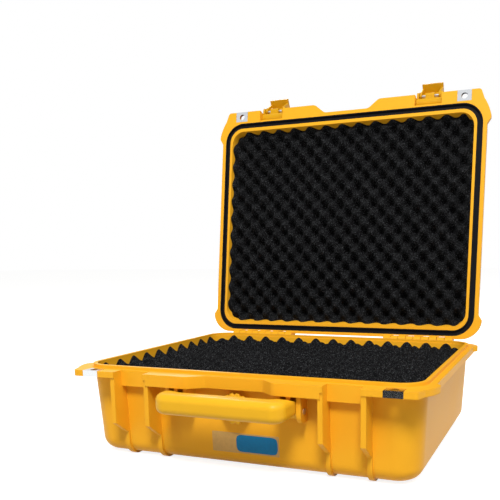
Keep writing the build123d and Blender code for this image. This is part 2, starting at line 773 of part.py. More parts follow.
# Latch lever: a channel open towards the case, with an eye on each cheek and a hooked
# lip that catches under the base flange
catch_z = parting_z - latch_band_thick - catch_gap
lever_drop = latch_z - link_reach - catch_z
lever_end = lever_drop + lever_lip
with BuildPart() as lever_hanging:
    with BuildSketch(Plane.YZ.offset(-lever_width / 2)):
        Circle(lever_eye_r)
        with BuildLine():
            Polyline(
                (-lever_front, -lever_top),
                (-lever_eye_r, 0),
                (lever_eye_r, 0),
                (lever_back, -lever_shoulder),
                (lever_back, -lever_drop),
                (lever_lip_reach, -lever_drop),
                (lever_lip_reach, -lever_end + lip_chamfer),
                (lever_lip_reach - lip_chamfer, -lever_end),
                (-lever_front + lever_nose_run, -lever_end),
                (-lever_front, -lever_end + lever_nose_rise),
                close=True,
            )
        make_face()
    extrude(amount=lever_width)
    with BuildSketch(Plane.YZ.offset(-lever_width / 2 + lever_cheek)):
        with BuildLine():
            Polyline(
                (-2 * lever_front, 2 * lever_eye_r),
                (-2 * lever_front, -lever_top),
                (-lever_front + lever_plate, -lever_top),
                (-lever_front + lever_plate, -lever_drop),
                (2 * lever_back, -lever_drop),
                (2 * lever_back, 2 * lever_eye_r),
                close=True,
            )
        make_face()
    extrude(amount=lever_width - 2 * lever_cheek, mode=Mode.SUBTRACT)
    with BuildSketch(Plane.YZ.offset(-lever_width / 2)):
        Circle(lever_pin_r + running)
    extrude(amount=lever_width, mode=Mode.SUBTRACT)

for side in sides:
    name = side_name(side)
    with BuildPart() as latch_link:
        with Locations(link_place(side)):
            add(link_hanging.part)
    save(latch_link, f"latch_link_{name}")
    with BuildPart() as latch_lever:
        with Locations(lever_place(side)):
            add(lever_hanging.part)
    save(latch_lever, f"latch_lever_{name}")

    # Pivot pin through the lid's cheeks, and the shorter pin through the link's cheeks
    pivot_length = bay_width + 2 * fin_thick - 2 * latch_pin_in
    with BuildPart() as pivot_pin:
        with Locations(link_place(side)):
            Cylinder(latch_pin_r, pivot_length, rotation=(0, 90, 0))
    save(pivot_pin, f"latch_pivot_pin_{name}")
    with BuildPart() as lever_pin:
        with Locations(lever_place(side)):
            Cylinder(lever_pin_r, link_width - 2 * lever_pin_in, rotation=(0, 90, 0))
    save(lever_pin, f"latch_lever_pin_{name}")


# Carrying handle: a loop with a thick rounded grip, grooves for the fingers inside it, and
# arms that get slimmer towards the eye at the end of each
with BuildPart() as handle:
    loop_y = -(handle_front_y + handle_pivot_y) / 2
    window_depth = handle_front_y - grip_width - handle_pivot_y + 2 * handle_eye_r
    with BuildSketch(Plane.XY.offset(handle_z - handle_thick / 2)) as loop:
        with Locations((0, loop_y)):
            Rectangle(2 * handle_x, handle_front_y - handle_pivot_y)
        fillet(loop.vertices().group_by(Axis.Y)[0], handle_corner_r)
        with BuildSketch(mode=Mode.PRIVATE) as window:
            with Locations((0, -handle_front_y + grip_width + window_depth / 2)):
                Rectangle(2 * (handle_x - arm_width), window_depth)
            fillet(window.vertices().group_by(Axis.Y)[0], window_corner_r)
        add(window.sketch, mode=Mode.SUBTRACT)
    extrude(amount=handle_thick)
    long_edges = handle.edges().filter_by(Axis.Z, reverse=True)
    fillet(long_edges.filter_by(lambda e: e.center().Y < -handle_pivot_y - lug_gap), grip_r)
    with BuildSketch(Plane.YZ.offset(-handle_x)) as side_view:
        with BuildLine():
            Polyline(
                (-handle_front_y, handle_z - handle_thick / 2),
                (-handle_front_y, handle_z + handle_thick / 2),
                (-handle_front_y + grip_width - arm_start, handle_z + handle_thick / 2),
                (-handle_pivot_y, handle_pivot_z + handle_eye_r),
                (-handle_pivot_y, handle_pivot_z - handle_eye_r),
                (-handle_pivot_y - handle_eye_r, handle_z - handle_thick / 2),
                close=True,
            )
        make_face()
    extrude(amount=2 * handle_x, mode=Mode.INTERSECT)
    with BuildSketch(Plane.YZ.offset(-handle_x)):
        with Locations((-handle_pivot_y, handle_pivot_z)):
            Circle(handle_eye_r)
    extrude(amount=2 * handle_x)
    with BuildSketch(Plane.XY.offset(handle_z - handle_thick)):
        with Locations((0, -handle_front_y + grip_width + window_depth / 2)):
            Rectangle(2 * (handle_x - arm_width - window_corner_r), window_depth)
        with Locations((0, -handle_pivot_y)):
            Rectangle(2 * (handle_x - arm_width), 4 * handle_eye_r)
        with Locations((0, -handle_front_y + grip_width)):
            with GridLocations(groove_pitch, 1, grip_grooves, 1):
                Rectangle(groove_pitch / 2, 2 * groove_depth_in_grip)
    extrude(amount=2 * handle_thick, mode=Mode.SUBTRACT)
    with BuildSketch(Plane.YZ.offset(-handle_x)):
        with Locations((-handle_pivot_y, handle_pivot_z)):
            Circle(handle_pin_r + running)
    extrude(amount=2 * handle_x, mode=Mode.SUBTRACT)
save(handle, "handle")

handle_pin_length = arm_width + 2 * (lug_thick + lug_gap)
for side in sides:
    with BuildPart() as handle_pin:
        with BuildSketch(Plane.YZ.offset(side * lug_face_x)):
            with Locations((-handle_pivot_y, handle_pivot_z)):
                Circle(handle_pin_r)
        extrude(amount=-side * handle_pin_length)
        with BuildSketch(Plane.YZ.offset(side * lug_face_x)):
            with Locations((-handle_pivot_y, handle_pivot_z)):
                Circle(handle_head_r)
        extrude(amount=side * handle_head_thick)
    save(handle_pin, f"handle_pin_{side_name(side)}")


# Pressure valve: a flanged bush pressed into the front wall over a seal ring, and a
# scalloped knob that turns on it
with BuildPart() as valve_seal:
    with BuildSketch(Plane.XZ.offset(wall_y)):
        with Locations((0, valve_z)):
            Circle(valve_flange_r - valve_seal_in)
            Circle(valve_bore_r + valve_seal_gap, mode=Mode.SUBTRACT)
    extrude(amount=valve_seal_thick)
save(valve_seal, "valve_seal")

with BuildPart() as valve_body:
    with BuildSketch(Plane.XZ.offset(wall_y + valve_seal_thick)):
        with Locations((0, valve_z)):
            Circle(valve_flange_r)
    extrude(amount=valve_flange)
    with BuildSketch(Plane.XZ.offset(wall_y - valve_bush_depth)):
        with Locations((0, valve_z)):
            Circle(valve_bore_r - valve_bush_gap)
    extrude(amount=valve_bush_depth + valve_seal_thick)
    with BuildSketch(Plane.XZ.offset(valve_face_y)):
        with Locations((0, valve_z)):
            Circle(valve_spigot_r + running)
    extrude(amount=wall_y - valve_bush_depth - valve_face_y, mode=Mode.SUBTRACT)
save(valve_body, "valve_body")

with BuildPart() as valve_knob:
    knob_back_y = valve_face_y + valve_knob_gap
    with BuildSketch(Plane.XZ.offset(knob_back_y)):
        with Locations((0, valve_z)):
            Circle(valve_knob_r)
            with PolarLocations(valve_knob_r + scallop_out, scallops):
                Circle(scallop_r, mode=Mode.SUBTRACT)
    extrude(amount=valve_knob_thick)
    with BuildSketch(Plane.XZ.offset(wall_y - valve_spigot_in)):
        with Locations((0, valve_z)):
            Circle(valve_spigot_r)
    extrude(amount=knob_back_y + valve_knob_thick / 2 - wall_y + valve_spigot_in)
save(valve_knob, "valve_knob")


# Foam: a flat pad on the bottom panel, a block on it and a top layer whose crests reach
# the rim; and one layer in the lid
with BuildPart() as foam_fill:
    add(base_block(wall + foam_gap, foam_top_z, wall, cavity_r - foam_gap))
    chamfer(foam_fill.faces().sort_by(Axis.Z)[0].edges(), bottom_r - wall)


def foam_layer(name, z_low, z_high):
    """One layer of the fill, cut between two heights."""
    with BuildPart() as layer:
        add(foam_fill.part)
        split(bisect_by=Plane.XY.offset(z_high), keep=Keep.BOTTOM)
        split(bisect_by=Plane.XY.offset(z_low), keep=Keep.TOP)
    save(layer, name)


foam_layer("base_foam_pad", 0, foam_pad_top)
foam_layer("base_foam_block", foam_pad_top + foam_gap, foam_block_top)
foam_layer("base_foam_top", foam_block_top + foam_gap, parting_z)

with BuildPart() as lid_foam_closed:
    add(lid_block(
        wall_x - mouth_x + foam_gap, lid_top_z - wall - foam_gap,
        cavity_r - lip_width - foam_gap,
    ))
    chamfer(lid_foam_closed.faces().sort_by(Axis.Z)[-1].edges(), lid_edge_r - wall)
    split(bisect_by=Plane.XY.offset(lid_face_z + lid_foam_recess), keep=Keep.TOP)
with BuildPart() as lid_foam:
    with Locations(lid_open):
        add(lid_foam_closed.part)
save(lid_foam, "lid_foam")


# Labels: plain adhesive sheets on the front wall and on the lid's outer face
label_x, label_z = front_label_at
highest_z = valve_z - valve_flange_r - valve_boss - label_gap - front_label_size[1] / 2
label_z = min(label_z, highest_z)
label_plane = Plane(
    origin=(label_x, -wall_out(label_z), label_z),
    x_dir=(1, 0, 0),
    z_dir=(0, -cos(radians(draft)), -sin(radians(draft))),
)
with BuildPart() as front_label:
    with BuildSketch(label_plane):
        RectangleRounded(*front_label_size, front_label_r)
    extrude(amount=label_thick)
save(front_label, "front_label")

with BuildPart() as lid_label_closed:
    with BuildSketch(Plane.XY.offset(lid_top_z)):
        RectangleRounded(*lid_label_size, lid_label_r)
    extrude(amount=label_thick)
with BuildPart() as lid_label:
    with Locations(lid_open):
        add(lid_label_closed.part)
save(lid_label, "lid_label")
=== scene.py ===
import math

import bpy
import numpy as np
from mathutils import Matrix, Vector


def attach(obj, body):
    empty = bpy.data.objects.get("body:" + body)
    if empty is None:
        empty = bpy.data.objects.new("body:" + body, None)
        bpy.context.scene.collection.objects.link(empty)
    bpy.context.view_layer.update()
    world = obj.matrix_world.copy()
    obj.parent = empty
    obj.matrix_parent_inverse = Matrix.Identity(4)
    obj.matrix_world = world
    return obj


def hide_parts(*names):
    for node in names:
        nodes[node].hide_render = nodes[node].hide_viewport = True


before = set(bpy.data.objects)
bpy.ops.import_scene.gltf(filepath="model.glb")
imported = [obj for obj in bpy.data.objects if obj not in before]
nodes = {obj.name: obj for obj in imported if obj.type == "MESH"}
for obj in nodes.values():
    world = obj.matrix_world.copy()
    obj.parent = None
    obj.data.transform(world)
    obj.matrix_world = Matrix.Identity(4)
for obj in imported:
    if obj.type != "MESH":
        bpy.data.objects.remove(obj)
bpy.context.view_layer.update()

# Camera
# At the photograph's angle: low, in front and to the right of the case, with the lens axis
# below the middle of the picture. Focal length and lens axis are in the picture's pixels.
PICTURE = 500
FOCAL = 663.4
AXIS_X, AXIS_Y = 293.74, 356.13
SENSOR = 36.0
CAMERA_PLACE = (0.3242154, -0.8138021, 0.2367312)
CAMERA_RIGHT = Vector((0.92561718, 0.37823585, -0.0130568))
CAMERA_UP = Vector((-0.04666378, 0.14829594, 0.98784149))

camera_data = bpy.data.cameras.new("camera")
camera_data.sensor_width = SENSOR
camera_data.lens = FOCAL / PICTURE * SENSOR
camera_data.shift_x = (PICTURE / 2 - AXIS_X) / PICTURE
camera_data.shift_y = (AXIS_Y - PICTURE / 2) / PICTURE
camera_data.clip_start = 0.05
camera = bpy.data.objects.new("camera", camera_data)
bpy.context.scene.collection.objects.link(camera)
camera_turn = Matrix((CAMERA_RIGHT, CAMERA_UP, CAMERA_RIGHT.cross(CAMERA_UP))).transposed()
camera.matrix_world = Matrix.Translation(CAMERA_PLACE) @ camera_turn.to_4x4()
bpy.context.scene.camera = camera

# Studio
# A white sweep under soft lamps: the strongest one high in front, weaker ones low on the
# left and high on the right, and a wide one behind, in an even pale surround.
FLOOR_HALF = 8
FLOOR_LIFT = 0.86
SURROUND_LEVEL = 0.24
FRONT_AIM = (0, 0, 0.15)
REAR_AIM = (0, 0, 0.2)


def new_piece(name, points, faces, material):
    """Object at the origin whose mesh has these points and faces and one material."""
    mesh = bpy.data.meshes.new(name)
    mesh.from_pydata(np.asarray(points).tolist(), [], faces)
    mesh.materials.append(material)
    piece = bpy.data.objects.new(name, mesh)
    bpy.context.scene.collection.objects.link(piece)
    return piece


def level_card(name, left, right, front, back, height, material):
    """A level rectangle between four sides."""
    corners = [(x, y, height) for x, y in
               ((left, front), (right, front), (right, back), (left, back))]
    return new_piece(name, corners, [(0, 1, 2, 3)], material)


def seen_or_mirrored(tree):
    """Socket that is 1 for rays from the camera, off a glossy surface or through glass,
    which are the ones that show a background, and 0 for the rays that carry light."""
    rays = tree.nodes.new("ShaderNodeLightPath")
    total = rays.outputs["Is Camera Ray"]
    for kind in ("Is Glossy Ray", "Is Transmission Ray"):
        largest = tree.nodes.new("ShaderNodeMath")
        largest.operation = "MAXIMUM"
        tree.links.new(total, largest.inputs[0])
        tree.links.new(rays.outputs[kind], largest.inputs[1])
        total = largest.outputs[0]
    return total


def floor_paper():
    """Matt grey paper that takes the shadow, plus a glow that only seen or mirrored rays
    meet, which makes it read as white."""
    material = bpy.data.materials.new("studio_floor")
    material.use_nodes = True
    tree = material.node_tree
    tree.nodes.clear()
    output = tree.nodes.new("ShaderNodeOutputMaterial")
    paper = tree.nodes.new("ShaderNodeBsdfDiffuse")
    paper.inputs["Color"].default_value = (0.50, 0.50, 0.50, 1)
    glow = tree.nodes.new("ShaderNodeEmission")
    glow.inputs["Color"].default_value = (1, 1, 1, 1)
    level = tree.nodes.new("ShaderNodeMath")
    level.operation = "MULTIPLY"
    level.inputs[1].default_value = FLOOR_LIFT
    both = tree.nodes.new("ShaderNodeAddShader")
    tree.links.new(seen_or_mirrored(tree), level.inputs[0])
    tree.links.new(level.outputs[0], glow.inputs["Strength"])
    tree.links.new(paper.outputs[0], both.inputs[0])
    tree.links.new(glow.outputs[0], both.inputs[1])
    tree.links.new(both.outputs[0], output.inputs["Surface"])
    return material


floor = level_card(
    "studio_floor", -FLOOR_HALF, FLOOR_HALF, -FLOOR_HALF, FLOOR_HALF, 0, floor_paper()
)

world = bpy.data.worlds.new("studio_surround")
bpy.context.scene.world = world
world.use_nodes = True
world_tree = world.node_tree
world_tree.nodes.clear()
surround = world_tree.nodes.new("ShaderNodeBackground")
surround.inputs["Color"].default_value = (1.0, 0.985, 0.95, 1)
surround.inputs["Strength"].default_value = SURROUND_LEVEL
white = world_tree.nodes.new("ShaderNodeBackground")
white.inputs["Color"].default_value = (1, 1, 1, 1)
pick = world_tree.nodes.new("ShaderNodeMixShader")
world_output = world_tree.nodes.new("ShaderNodeOutputWorld")
world_tree.links.new(seen_or_mirrored(world_tree), pick.inputs[0])
world_tree.links.new(surround.outputs[0], pick.inputs[1])
world_tree.links.new(white.outputs[0], pick.inputs[2])
world_tree.links.new(pick.outputs[0], world_output.inputs["Surface"])


def softbox(name, position, target, size, watts):
    """A square area lamp at a place, aimed at a point."""
    data = bpy.data.lights.new(name, "AREA")
    data.shape = "SQUARE"
    data.size = size
    data.energy = watts
    lamp = bpy.data.objects.new(name, data)
    lamp.location = position
    direction = Vector(target) - Vector(position)
    lamp.rotation_euler = direction.to_track_quat("-Z", "Y").to_euler()
    bpy.context.scene.collection.objects.link(lamp)


softbox("key", (0.60, -1.6, 2.05), FRONT_AIM, size=0.6, watts=62)
softbox("low_left", (-2.0, -1.6, 0.7), FRONT_AIM, size=1.2, watts=8)
softbox("right", (1.7, -0.6, 2.1), FRONT_AIM, size=0.9, watts=15)
softbox("rear", (-0.9, 2.4, 1.5), REAR_AIM, size=1.4, watts=48)

bpy.context.scene.view_settings.view_transform = "Standard"

# Moulded shells
# Base and lid are thick injection mouldings in through-coloured yellow plastic with a fine
# spark-eroded texture. Each grain is a number of pebbles per metre and their depth.
SHELL_GRAIN = (900, 0.00018)
EDGE_RADIUS = 0.0007


def object_noise(tree, detail, scale=None):
    """Noise over Object coordinates. Without a scale, a link is to set it."""
    place = tree.nodes.new("ShaderNodeTexCoord")
    noise = tree.nodes.new("ShaderNodeTexNoise")
    noise.inputs["Detail"].default_value = detail
    if scale is not None:
        noise.inputs["Scale"].default_value = scale
    tree.links.new(place.outputs["Object"], noise.inputs["Vector"])
    return noise


def moulded_grain_group():
    """Node group: edges rounded by a fraction of a millimetre, a fine pebbled height, and
    slow patches that shift the colour and the gloss a little, as on any large moulding."""
    group = bpy.data.node_groups.new("moulded_grain", "ShaderNodeTree")
    for name, kind in (("Color", "NodeSocketColor"), ("Grain", "NodeSocketFloat"),
                       ("Roughness", "NodeSocketFloat"), ("Depth", "NodeSocketFloat")):
        group.interface.new_socket(name, in_out="INPUT", socket_type=kind)
    for name, kind in (("Color", "NodeSocketColor"), ("Roughness", "NodeSocketFloat"),
                       ("Normal", "NodeSocketVector")):
        group.interface.new_socket(name, in_out="OUTPUT", socket_type=kind)
    new, link = group.nodes.new, group.links.new
    given = new("NodeGroupInput")
    result = new("NodeGroupOutput")
    pebbles = object_noise(group, detail=3)
    pebbles.inputs["Roughness"].default_value = 0.55
    patches = object_noise(group, detail=3, scale=9)
    rounded = new("ShaderNodeBevel")
    rounded.samples = 4
    rounded.inputs["Radius"].default_value = EDGE_RADIUS
    bump = new("ShaderNodeBump")
    bump.inputs["Strength"].default_value = 0.5
    shade = new("ShaderNodeMapRange")
    shade.inputs["To Min"].default_value = 0.955
    shade.inputs["To Max"].default_value = 1.045
    tint = new("ShaderNodeMix")
    tint.data_type = "RGBA"
    tint.blend_type = "MULTIPLY"
    tint.inputs["Factor"].default_value = 1.0
    gloss = new("ShaderNodeMath")
    gloss.operation = "MULTIPLY_ADD"
    gloss.inputs[1].default_value = 0.12
    link(given.outputs["Grain"], pebbles.inputs["Scale"])
    link(pebbles.outputs["Fac"], bump.inputs["Height"])
    link(given.outputs["Depth"], bump.inputs["Distance"])
    link(rounded.outputs["Normal"], bump.inputs["Normal"])
    link(patches.outputs["Fac"], shade.inputs["Value"])
    link(given.outputs["Color"], tint.inputs["A"])
    link(shade.outputs["Result"], tint.inputs["B"])
    link(patches.outputs["Fac"], gloss.inputs[0])
    link(given.outputs["Roughness"], gloss.inputs[2])
    link(tint.outputs["Result"], result.inputs["Color"])
    link(gloss.outputs[0], result.inputs["Roughness"])
    link(bump.outputs["Normal"], result.inputs["Normal"])
    return group


moulded_grain = moulded_grain_group()


def new_finish(name):
    """A new material, its node tree and its Principled shader."""
    material = bpy.data.materials.new(name)
    material.use_nodes = True
    return material, material.node_tree, material.node_tree.nodes["Principled BSDF"]


def moulded_plastic(name, color, roughness, grain):
    """A Principled plastic whose colour, roughness and normal come from the grain group."""
    material, tree, plastic = new_finish(name)
    pebbles, depth = grain
    surface = tree.nodes.new("ShaderNodeGroup")
    surface.node_tree = moulded_grain
    surface.inputs["Color"].default_value = (*color, 1)
    surface.inputs["Grain"].default_value = pebbles
    surface.inputs["Roughness"].default_value = roughness
    surface.inputs["Depth"].default_value = depth
    tree.links.new(surface.outputs["Color"], plastic.inputs["Base Color"])
    tree.links.new(surface.outputs["Roughness"], plastic.inputs["Roughness"])
    tree.links.new(surface.outputs["Normal"], plastic.inputs["Normal"])
    plastic.inputs["Specular IOR Level"].default_value = 0.16
    return material


def give_finish(node_names, material):
    """Give CAD nodes one material in place of their plain one."""
    for name in node_names:
        mesh = nodes[name].data
        mesh.materials.clear()
        mesh.materials.append(material)


shell_yellow = moulded_plastic(
    "shell_yellow", color=(0.84, 0.398, 0.015), roughness=0.40, grain=SHELL_GRAIN
)
give_finish(("base_shell", "lid_shell", "valve_body"), shell_yellow)

# Latches and handle
# Glossier fittings of the same plastic, with a finer grain: rolls and levers in a deeper
# shade on steel pins, and a grip whose inner side is grooved for the fingers.
FITTING_GRAIN = (1100, 0.0001)

latch_yellow = moulded_plastic(
    "latch_yellow", color=(0.60, 0.305, 0.005), roughness=0.30, grain=FITTING_GRAIN
)
give_finish(
    ("latch_link_left", "latch_link_right", "latch_lever_left", "latch_lever_right"),
    latch_yellow,
)
handle_yellow = moulded_plastic(
    "handle_yellow", color=(0.77, 0.405, 0.014), roughness=0.30, grain=FITTING_GRAIN
)
give_finish(("handle",), handle_yellow)

# Pressure valve
# The knob is a scalloped plastic disc with a finger bar across it, screwed onto the bush in
# the front wall. Sizes from here on are those of the closed case: on_base puts them where
# the base stands, and on_lid where the open lid is.
CASE_Y = -0.0249545
FOOT = 0.003
HINGE_Y = 0.175
HINGE_Z = 0.1027
OPEN_ANGLE = math.radians(97.8)
KNOB_CENTRE = (0.0, -0.16605, 0.068)
KNOB_RADIUS = 0.0175
KNOB_FACE = 0.0039
FACE_SHARE = 0.9
SCALLOPS = 14
POINTS_PER_SCALLOP = 16
BAR_HALF_WIDTH = 0.0042
BAR_HALF_LENGTH = 0.80 * KNOB_RADIUS
BAR_HEIGHT = 0.0016


def on_base(points):
    """Points of the closed case, placed where the base stands: a plain shift."""
    return np.asarray(points, float) + (0.0, CASE_Y, FOOT)


def on_lid(points):
    """Points of the closed case, turned back about the hinge pin by the angle at which the
    lid stands open, then shifted."""
    p = np.array(points, float)
    y, z = p[..., 1] - HINGE_Y, p[..., 2] - HINGE_Z
    c, s = math.cos(-OPEN_ANGLE), math.sin(-OPEN_ANGLE)
    p[..., 1] = HINGE_Y + c * y - s * z
    p[..., 2] = HINGE_Z + s * y + c * z
    return on_base(p)


def scalloped_knob(name, rings):
    """Disc facing the front, built of rings from the wall out to the middle of the face,
    each a share of the knob's radius, a height and a bite. A ring's radius at an angle is
    its share times 1 less the bite times the square of (1 + cos(scallops times the angle))
    / 2. The bar rises as exp(-(x / half width)^4) times (1 - (z / half length)^6)."""
    angle = np.linspace(0, 2 * math.pi, SCALLOPS * POINTS_PER_SCALLOP, endpoint=False)
    share, height, bite = (np.array(column)[:, None] for column in zip(*rings))
    reach = KNOB_RADIUS * share * (1 - bite * (0.5 + 0.5 * np.cos(SCALLOPS * angle)) ** 2)
    x, z = reach * np.sin(angle), reach * np.cos(angle)
    bar = np.exp(-(x / BAR_HALF_WIDTH) ** 4) * np.clip(1 - (z / BAR_HALF_LENGTH) ** 6, 0, 1)
    out = height + BAR_HEIGHT * bar * (share < FACE_SHARE)
    centre_x, centre_y, centre_z = KNOB_CENTRE
    points = np.stack([centre_x + x, centre_y - out, centre_z + z], -1).reshape(-1, 3)
    index = np.arange(len(points)).reshape(-1, len(angle))
    around = np.roll(index, -1, axis=1)
    walls = np.stack([index[:-1], around[:-1], around[1:], index[1:]], -1).reshape(-1, 4)
    faces = walls.tolist() + [index[0, ::-1].tolist(), index[-1].tolist()]
    piece = new_piece(name, on_base(points), faces, handle_yellow)
    piece.data.shade_smooth()
    piece.data.set_sharp_from_angle(angle=math.radians(40))
    return piece


knob_rim = [(0.97, 0.0, 0.12), (1.0, 0.0006, 0.12), (1.0, 0.0028, 0.12),
            (0.965, 0.0036, 0.11), (0.88, KNOB_FACE, 0.05)]
knob_face = [(share, KNOB_FACE, 0) for share in (0.76, 0.60, 0.44, 0.28, 0.12, 0.02)]
knob = scalloped_knob("valve_scalloped_knob", knob_rim + knob_face)
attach(knob, "valve_knob")
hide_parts("valve_knob")

# Gasket
# A black rubber channel pressed into the groove of the lid, and the valve's seal ring of
# the same rubber. Both are a little dusty on their faces.
GASKET_BLACK = (0.004, 0.004, 0.005)
DUST_GAIN = 2.2


def color_between(tree, share, low, high):
    """Socket with the colour that lies a share of the way from low to high."""
    mix = tree.nodes.new("ShaderNodeMix")
    mix.data_type = "RGBA"
    mix.inputs["A"].default_value = (*low, 1)
    mix.inputs["B"].default_value = (*high, 1)
    tree.links.new(share, mix.inputs["Factor"])
    return mix.outputs["Result"]


def bump_from(tree, height, strength, distance):
    """Socket with the normal, bent by the slope of a height."""
    bump = tree.nodes.new("ShaderNodeBump")
    bump.inputs["Strength"].default_value = strength
    bump.inputs["Distance"].default_value = distance
    tree.links.new(height, bump.inputs["Height"])
    return bump.outputs["Normal"]


def soft_rubber(name, color):
    """Black rubber with a faint mottled bloom."""
    material, tree, rubber = new_finish(name)
    bloom = object_noise(tree, detail=4, scale=140).outputs["Fac"]
    dusty = [channel * DUST_GAIN for channel in color]
    mottled = color_between(tree, bloom, color, dusty)
    dented = bump_from(tree, bloom, strength=0.3, distance=0.0002)
    tree.links.new(mottled, rubber.inputs["Base Color"])
    tree.links.new(dented, rubber.inputs["Normal"])
    rubber.inputs["Roughness"].default_value = 0.6
    rubber.inputs["Specular IOR Level"].default_value = 0.08
    return material


give_finish(("lid_gasket", "valve_seal"), soft_rubber("gasket_rubber", GASKET_BLACK))

# Steel parts
# Stainless pins, and guards of bright folded sheet brushed along their width. A black card
# on the floor in front of the case shows only in reflections, and gives the sheet its dark
# side. Scratches are counted per metre along the three axes.
GUARD_SCRATCHES = (120, 2500, 2500)
PIN_SCRATCHES = (60, 3000, 3000)


def value_between(tree, share, least, span):
    """Socket with the least value plus a share of the span."""
    level = tree.nodes.new("ShaderNodeMath")
    level.operation = "MULTIPLY_ADD"
    level.inputs[1].default_value = span
    level.inputs[2].default_value = least
    tree.links.new(share, level.inputs[0])
    return level.outputs[0]


def brushed_steel(name, color, roughness, scratches):
    """Steel with fine scratches: a noise stretched along one axis bends the normal and
    varies the roughness."""
    material, tree, steel = new_finish(name)
    place = tree.nodes.new("ShaderNodeTexCoord")
    stretch = tree.nodes.new("ShaderNodeMapping")
    stretch.inputs["Scale"].default_value = scratches
    noise = tree.nodes.new("ShaderNodeTexNoise")
    noise.inputs["Scale"].default_value = 1.0
    noise.inputs["Detail"].default_value = 4
    tree.links.new(place.outputs["Object"], stretch.inputs["Vector"])
    tree.links.new(stretch.outputs["Vector"], noise.inputs["Vector"])
    dulled = value_between(tree, noise.outputs["Fac"], least=roughness, span=0.12)
    scratched = bump_from(tree, noise.outputs["Fac"], strength=0.25, distance=0.0001)
    tree.links.new(dulled, steel.inputs["Roughness"])
    tree.links.new(scratched, steel.inputs["Normal"])
    steel.inputs["Base Color"].default_value = (*color, 1)
    steel.inputs["Metallic"].default_value = 1.0
    return material


guard_steel = brushed_steel(
    "guard_steel", color=(0.62, 0.64, 0.66), roughness=0.10, scratches=GUARD_SCRATCHES
)
pin_steel = brushed_steel(
    "pin_steel", color=(0.60, 0.60, 0.62), roughness=0.22, scratches=PIN_SCRATCHES
)
give_finish([name for name in nodes if name.startswith("padlock_guard")], guard_steel)
give_finish([name for name in nodes if "_pin_" in name], pin_steel)

card_black, _, felt = new_finish("studio_black_card")
felt.inputs["Base Color"].default_value = (0.008, 0.008, 0.008, 1)
felt.inputs["Roughness"].default_value = 1.0
felt.inputs["Specular IOR Level"].default_value = 0.0
card = level_card(
    "studio_black_card", left=-0.35, right=1.4, front=-2.6, back=-0.45, height=0.002,
    material=card_black,
)
card.visible_camera = False
card.visible_diffuse = False
card.visible_shadow = False

# Foam
# Charcoal open-cell foam, cut and laid in: two flat layers in the base under an egg-crate
# layer, and one egg-crate layer glued into the lid, its crests towards the contents.
FOAM_GAP = 0.0006
WALL_SLOPE = math.tan(math.radians(3))
BASE_RIM = 0.106
BASE_HALF_X, BASE_HALF_Y = 0.19825, 0.16025
BASE_CORNER = 0.024
BASE_CREST = 0.1026
LID_FACE = 0.1029
LID_CEILING = 0.1444
LID_HALF_X, LID_HALF_Y = 0.1924, 0.1544
LID_LEAN_X, LID_LEAN_Y = 0.0020, 0.0079
LID_CORNER = 0.0195
LID_CREST = LID_FACE + 0.0021
CRATE_DEPTH = 0.018
SQUEEZE_WIDTH = 0.016
CRATE_GRID = (241, 195)
FLAT_GRID = (60, 50)


def foam_cells_material():
    """Near-black matt foam: tiny open cells pit the surface, some catch the light, and the
    valleys are darker than the crests: painted shade in the hollows of the crate."""
    material, tree, foam = new_finish("open_cell_foam")
    place = tree.nodes.new("ShaderNodeTexCoord")
    cells = tree.nodes.new("ShaderNodeTexVoronoi")
    cells.inputs["Scale"].default_value = 620
    tree.links.new(place.outputs["Object"], cells.inputs["Vector"])
    crest = tree.nodes.new("ShaderNodeAttribute")
    crest.attribute_name = "crest"
    # Painted shade: the colour runs from darkest in the valleys to lighter on the crests,
    # by the crest height.
    painted_valley_shade = color_between(
        tree, crest.outputs["Fac"], (0.0026, 0.0026, 0.0029), (0.0045, 0.0047, 0.0050)
    )
    glints = object_noise(tree, detail=2, scale=780)
    specks = tree.nodes.new("ShaderNodeMapRange")
    specks.inputs["From Min"].default_value = 0.55
    specks.inputs["From Max"].default_value = 0.74
    color = tree.nodes.new("ShaderNodeMix")
    color.data_type = "RGBA"
    color.inputs["B"].default_value = (0.085, 0.088, 0.092, 1)
    pitted = bump_from(tree, cells.outputs["Distance"], strength=0.6, distance=0.0006)
    tree.links.new(glints.outputs["Fac"], specks.inputs["Value"])
    tree.links.new(specks.outputs["Result"], color.inputs["Factor"])
    tree.links.new(painted_valley_shade, color.inputs["A"])
    tree.links.new(color.outputs["Result"], foam.inputs["Base Color"])
    tree.links.new(pitted, foam.inputs["Normal"])
    foam.inputs["Roughness"].default_value = 0.95
    foam.inputs["Specular IOR Level"].default_value = 0.05
    return material


foam_black = foam_cells_material()


def rounded_rectangle_grid(half_x, half_y, radius, columns, rows):
    """Grid over a rectangle whose corner squares are bent into quarter discs:
    (a, b) goes to (a sqrt(1 - b b / 2), b sqrt(1 - a a / 2))."""
    across = np.linspace(-half_x, half_x, columns)
    along = np.linspace(-half_y, half_y, rows)
    x, y = np.meshgrid(across, along)
    a = np.clip((np.abs(x) - (half_x - radius)) / radius, 0, 1)
    b = np.clip((np.abs(y) - (half_y - radius)) / radius, 0, 1)
    x = np.sign(x) * (np.abs(x) - a * radius * (1 - np.sqrt(1 - b * b / 2)))
    y = np.sign(y) * (np.abs(y) - b * radius * (1 - np.sqrt(1 - a * a / 2)))
    return x, y


def grid_faces(index):
    """Quads between the points of a grid of indices, one for each of its cells."""
    corners = [index[:-1, :-1], index[:-1, 1:], index[1:, 1:], index[1:, :-1]]
    return np.stack(corners, -1).reshape(-1, 4)


